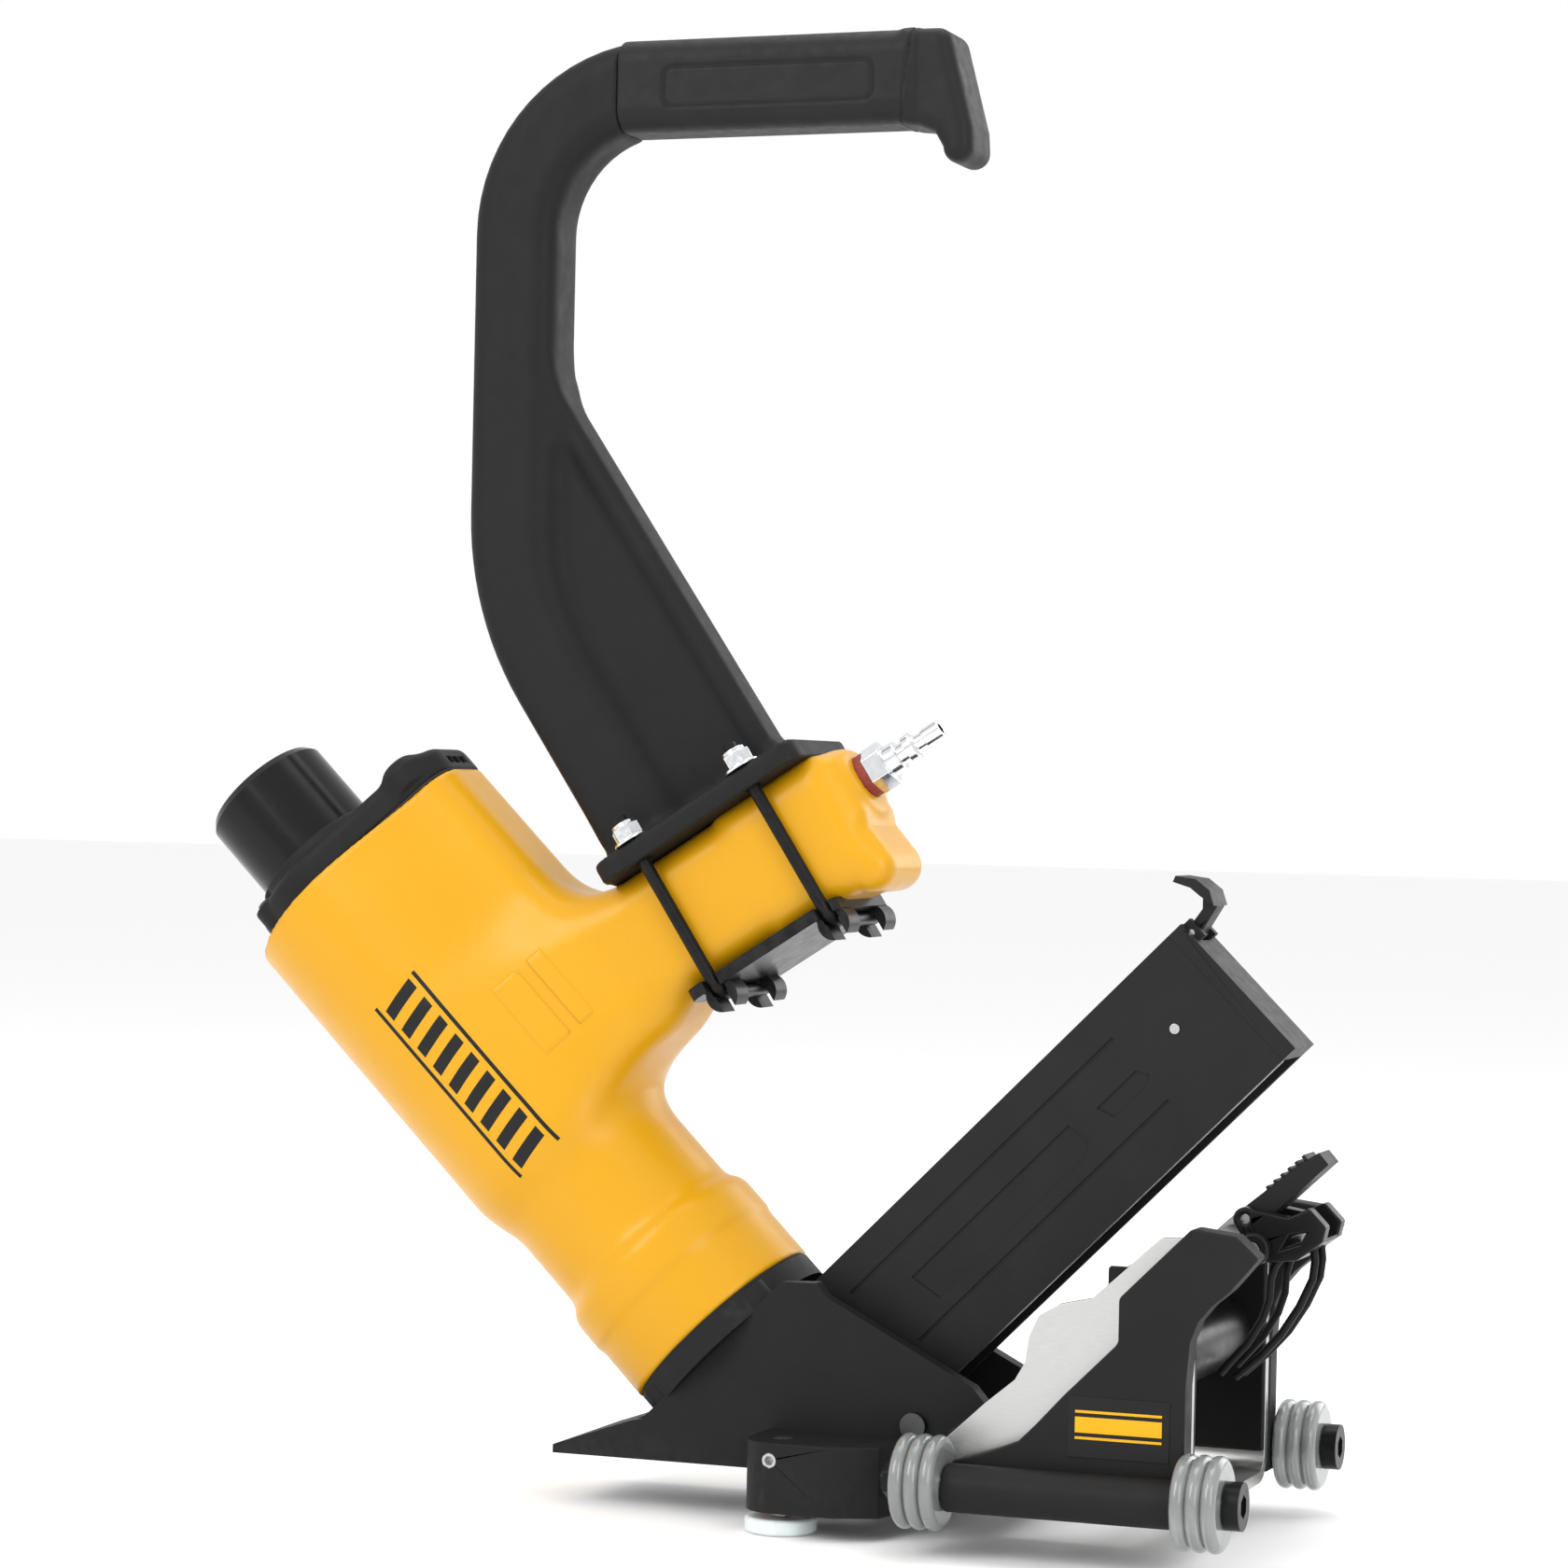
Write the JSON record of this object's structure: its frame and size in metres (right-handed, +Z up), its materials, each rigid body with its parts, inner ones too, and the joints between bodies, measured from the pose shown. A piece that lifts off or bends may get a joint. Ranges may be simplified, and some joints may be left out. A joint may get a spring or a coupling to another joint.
{
  "type": "flooring nailer",
  "caption": "Mallet-struck pneumatic flooring nailer with a C-shaped handle, angled magazine and a rolling foot with edge guide rollers.",
  "frame": {"origin": "middle of the tool's footprint, on the surface under the guide rollers", "axes": "+X from the strike cap towards the magazine, +Y across the tool, +Z up towards the grip"},
  "size_m": [0.4868, 0.1986, 0.598],
  "materials": {
    "yellow_paint": "gloss",
    "black_casting": "matte",
    "black_steel": "satin",
    "dark_fastener": "satin",
    "zinc": "satin",
    "chrome": "polished",
    "steel": "satin",
    "aluminium": "brushed",
    "hard_steel": "ground",
    "brass": "satin",
    "grip_rubber": "matte",
    "strike_cap": "gloss",
    "black_plastic": "satin",
    "white_nylon": "satin",
    "clear_urethane": "translucent",
    "black_rubber": "matte",
    "gasket_fibre": "matte",
    "thread_sealant": "matte"
  },
  "bodies": {
    "root": {"main_housing": "yellow_paint", "cap_gasket": "gasket_fibre", "cylinder_cap": "black_casting", "cap_screws": "dark_fastener", "cylinder_sleeve": "steel", "bumper": "black_rubber", "valve_body": "steel", "head_valve_spring": "steel", "ram_spring": "steel", "handle": "black_casting", "grip_sleeve": "grip_rubber", "u_bolts": "black_steel", "u_bolt_washers": "zinc", "u_bolt_nuts": "zinc", "saddle_plate": "black_steel", "thread_seal": "thread_sealant", "air_plug": "chrome", "nose_gasket": "gasket_fibre", "nose_casting": "black_casting", "nose_screws": "dark_fastener", "driver_guide": "hard_steel", "magazine_rail": "hard_steel", "rail_bolt": "dark_fastener", "foot_plate": "aluminium", "foot_screws": "dark_fastener", "side_frame_near": "black_casting", "side_frame_far": "black_casting", "cross_tube": "black_steel", "clamp_yoke": "black_steel", "clamp_pin": "steel", "axle_bolts": "black_steel", "axle_nuts": "black_steel", "toe_blocks": "black_casting", "stem_set_screws": "steel"},
    "piston": {"piston": "aluminium", "piston_ring": "black_rubber", "driver_blade": "hard_steel"},
    "head_valve": {"head_valve": "white_nylon"},
    "strike_cap": {"ram_cap": "strike_cap", "ram_stem": "steel"},
    "magazine_slide": {"magazine_cover": "black_plastic", "magazine_end_cap": "black_plastic", "magazine_rivets": "steel", "latch_pin": "steel"},
    "magazine_latch": {"magazine_latch": "black_plastic"},
    "pusher": {"pusher": "brass", "pusher_spring": "steel"},
    "wheel_near_front": {"wheel_near_front": "clear_urethane"},
    "wheel_near_rear": {"wheel_near_rear": "clear_urethane"},
    "wheel_far_front": {"wheel_far_front": "clear_urethane"},
    "wheel_far_rear": {"wheel_far_rear": "clear_urethane"},
    "guide_stem_near": {"guide_stem_near": "steel"},
    "guide_stem_far": {"guide_stem_far": "steel"},
    "guide_roller_near": {"guide_roller_near": "white_nylon"},
    "guide_roller_far": {"guide_roller_far": "white_nylon"},
    "clamp_lever": {"clamp_lever": "black_steel", "clamp_bails": "black_steel", "thumb_pin": "steel"},
    "thumb_lever": {"thumb_lever": "black_plastic"},
    "adjust_knob": {"adjust_knob": "black_plastic"}
  },
  "joints": [
    {"name": "piston_stroke", "type": "slide", "parent": "root", "child": "piston", "axis": [0.7071, 0, -0.7071], "range_m": [0, 0.095]},
    {"name": "head_valve_lift", "type": "slide", "parent": "root", "child": "head_valve", "axis": [-0.7071, 0, 0.7071], "range_m": [0, 0.005], "stiffness_N_per_m": 2000, "springref_m": -0.004, "deforming": ["head_valve_spring"]},
    {"name": "strike_cap_press", "type": "slide", "parent": "root", "child": "strike_cap", "axis": [0.7071, 0, -0.7071], "range_m": [0, 0.008], "stiffness_N_per_m": 3000, "springref_m": -0.004, "deforming": ["ram_spring"]},
    {"name": "magazine_cover_slide", "type": "slide", "parent": "root", "child": "magazine_slide", "axis": [0.7071, 0, 0.7071], "range_m": [0, 0.12]},
    {"name": "magazine_latch_pull", "type": "hinge", "parent": "magazine_slide", "child": "magazine_latch", "pos_m": [0.18557, 0, 0.23903], "axis": [0, 1, 0], "range_deg": [0, 15], "stiffness_Nm_per_rad": 0.4, "springref_deg": -11.46},
    {"name": "pusher_slide", "type": "slide", "parent": "root", "child": "pusher", "axis": [0.7071, 0, 0.7071], "range_m": [0, 0.2], "stiffness_N_per_m": 20, "springref_m": -0.15},
    {"name": "wheel_near_front_spin", "type": "hinge", "parent": "root", "child": "wheel_near_front", "pos_m": [0.103, -0.081, 0.0283], "axis": [1, 0, 0], "continuous": true},
    {"name": "wheel_near_rear_spin", "type": "hinge", "parent": "root", "child": "wheel_near_rear", "pos_m": [0.213, -0.081, 0.0283], "axis": [1, 0, 0], "continuous": true},
    {"name": "wheel_far_front_spin", "type": "hinge", "parent": "root", "child": "wheel_far_front", "pos_m": [0.103, 0.081, 0.0283], "axis": [1, 0, 0], "continuous": true},
    {"name": "wheel_far_rear_spin", "type": "hinge", "parent": "root", "child": "wheel_far_rear", "pos_m": [0.213, 0.081, 0.0283], "axis": [1, 0, 0], "continuous": true},
    {"name": "guide_stem_near_height", "type": "slide", "parent": "root", "child": "guide_stem_near", "axis": [0, 0, 1], "range_m": [-0.006, 0.0025]},
    {"name": "guide_roller_near_spin", "type": "hinge", "parent": "guide_stem_near", "child": "guide_roller_near", "pos_m": [0.0365, -0.056, 0.004], "axis": [0, 0, 1], "continuous": true},
    {"name": "guide_stem_far_height", "type": "slide", "parent": "root", "child": "guide_stem_far", "axis": [0, 0, 1], "range_m": [-0.006, 0.0025]},
    {"name": "guide_roller_far_spin", "type": "hinge", "parent": "guide_stem_far", "child": "guide_roller_far", "pos_m": [0.0365, 0.056, 0.004], "axis": [0, 0, 1], "continuous": true},
    {"name": "clamp_lever_open", "type": "hinge", "parent": "root", "child": "clamp_lever", "pos_m": [0.216, 0, 0.118], "axis": [0, -1, 0], "range_deg": [0, 45]},
    {"name": "thumb_lever_press", "type": "hinge", "parent": "clamp_lever", "child": "thumb_lever", "pos_m": [0.211, 0, 0.129], "axis": [0, 1, 0], "range_deg": [0, 12], "stiffness_Nm_per_rad": 0.3, "springref_deg": -11.46},
    {"name": "adjust_knob_turn", "type": "hinge", "parent": "root", "child": "adjust_knob", "pos_m": [0.182, 0, 0.076], "axis": [-0.7071, 0, 0.7071], "continuous": true}
  ]
}
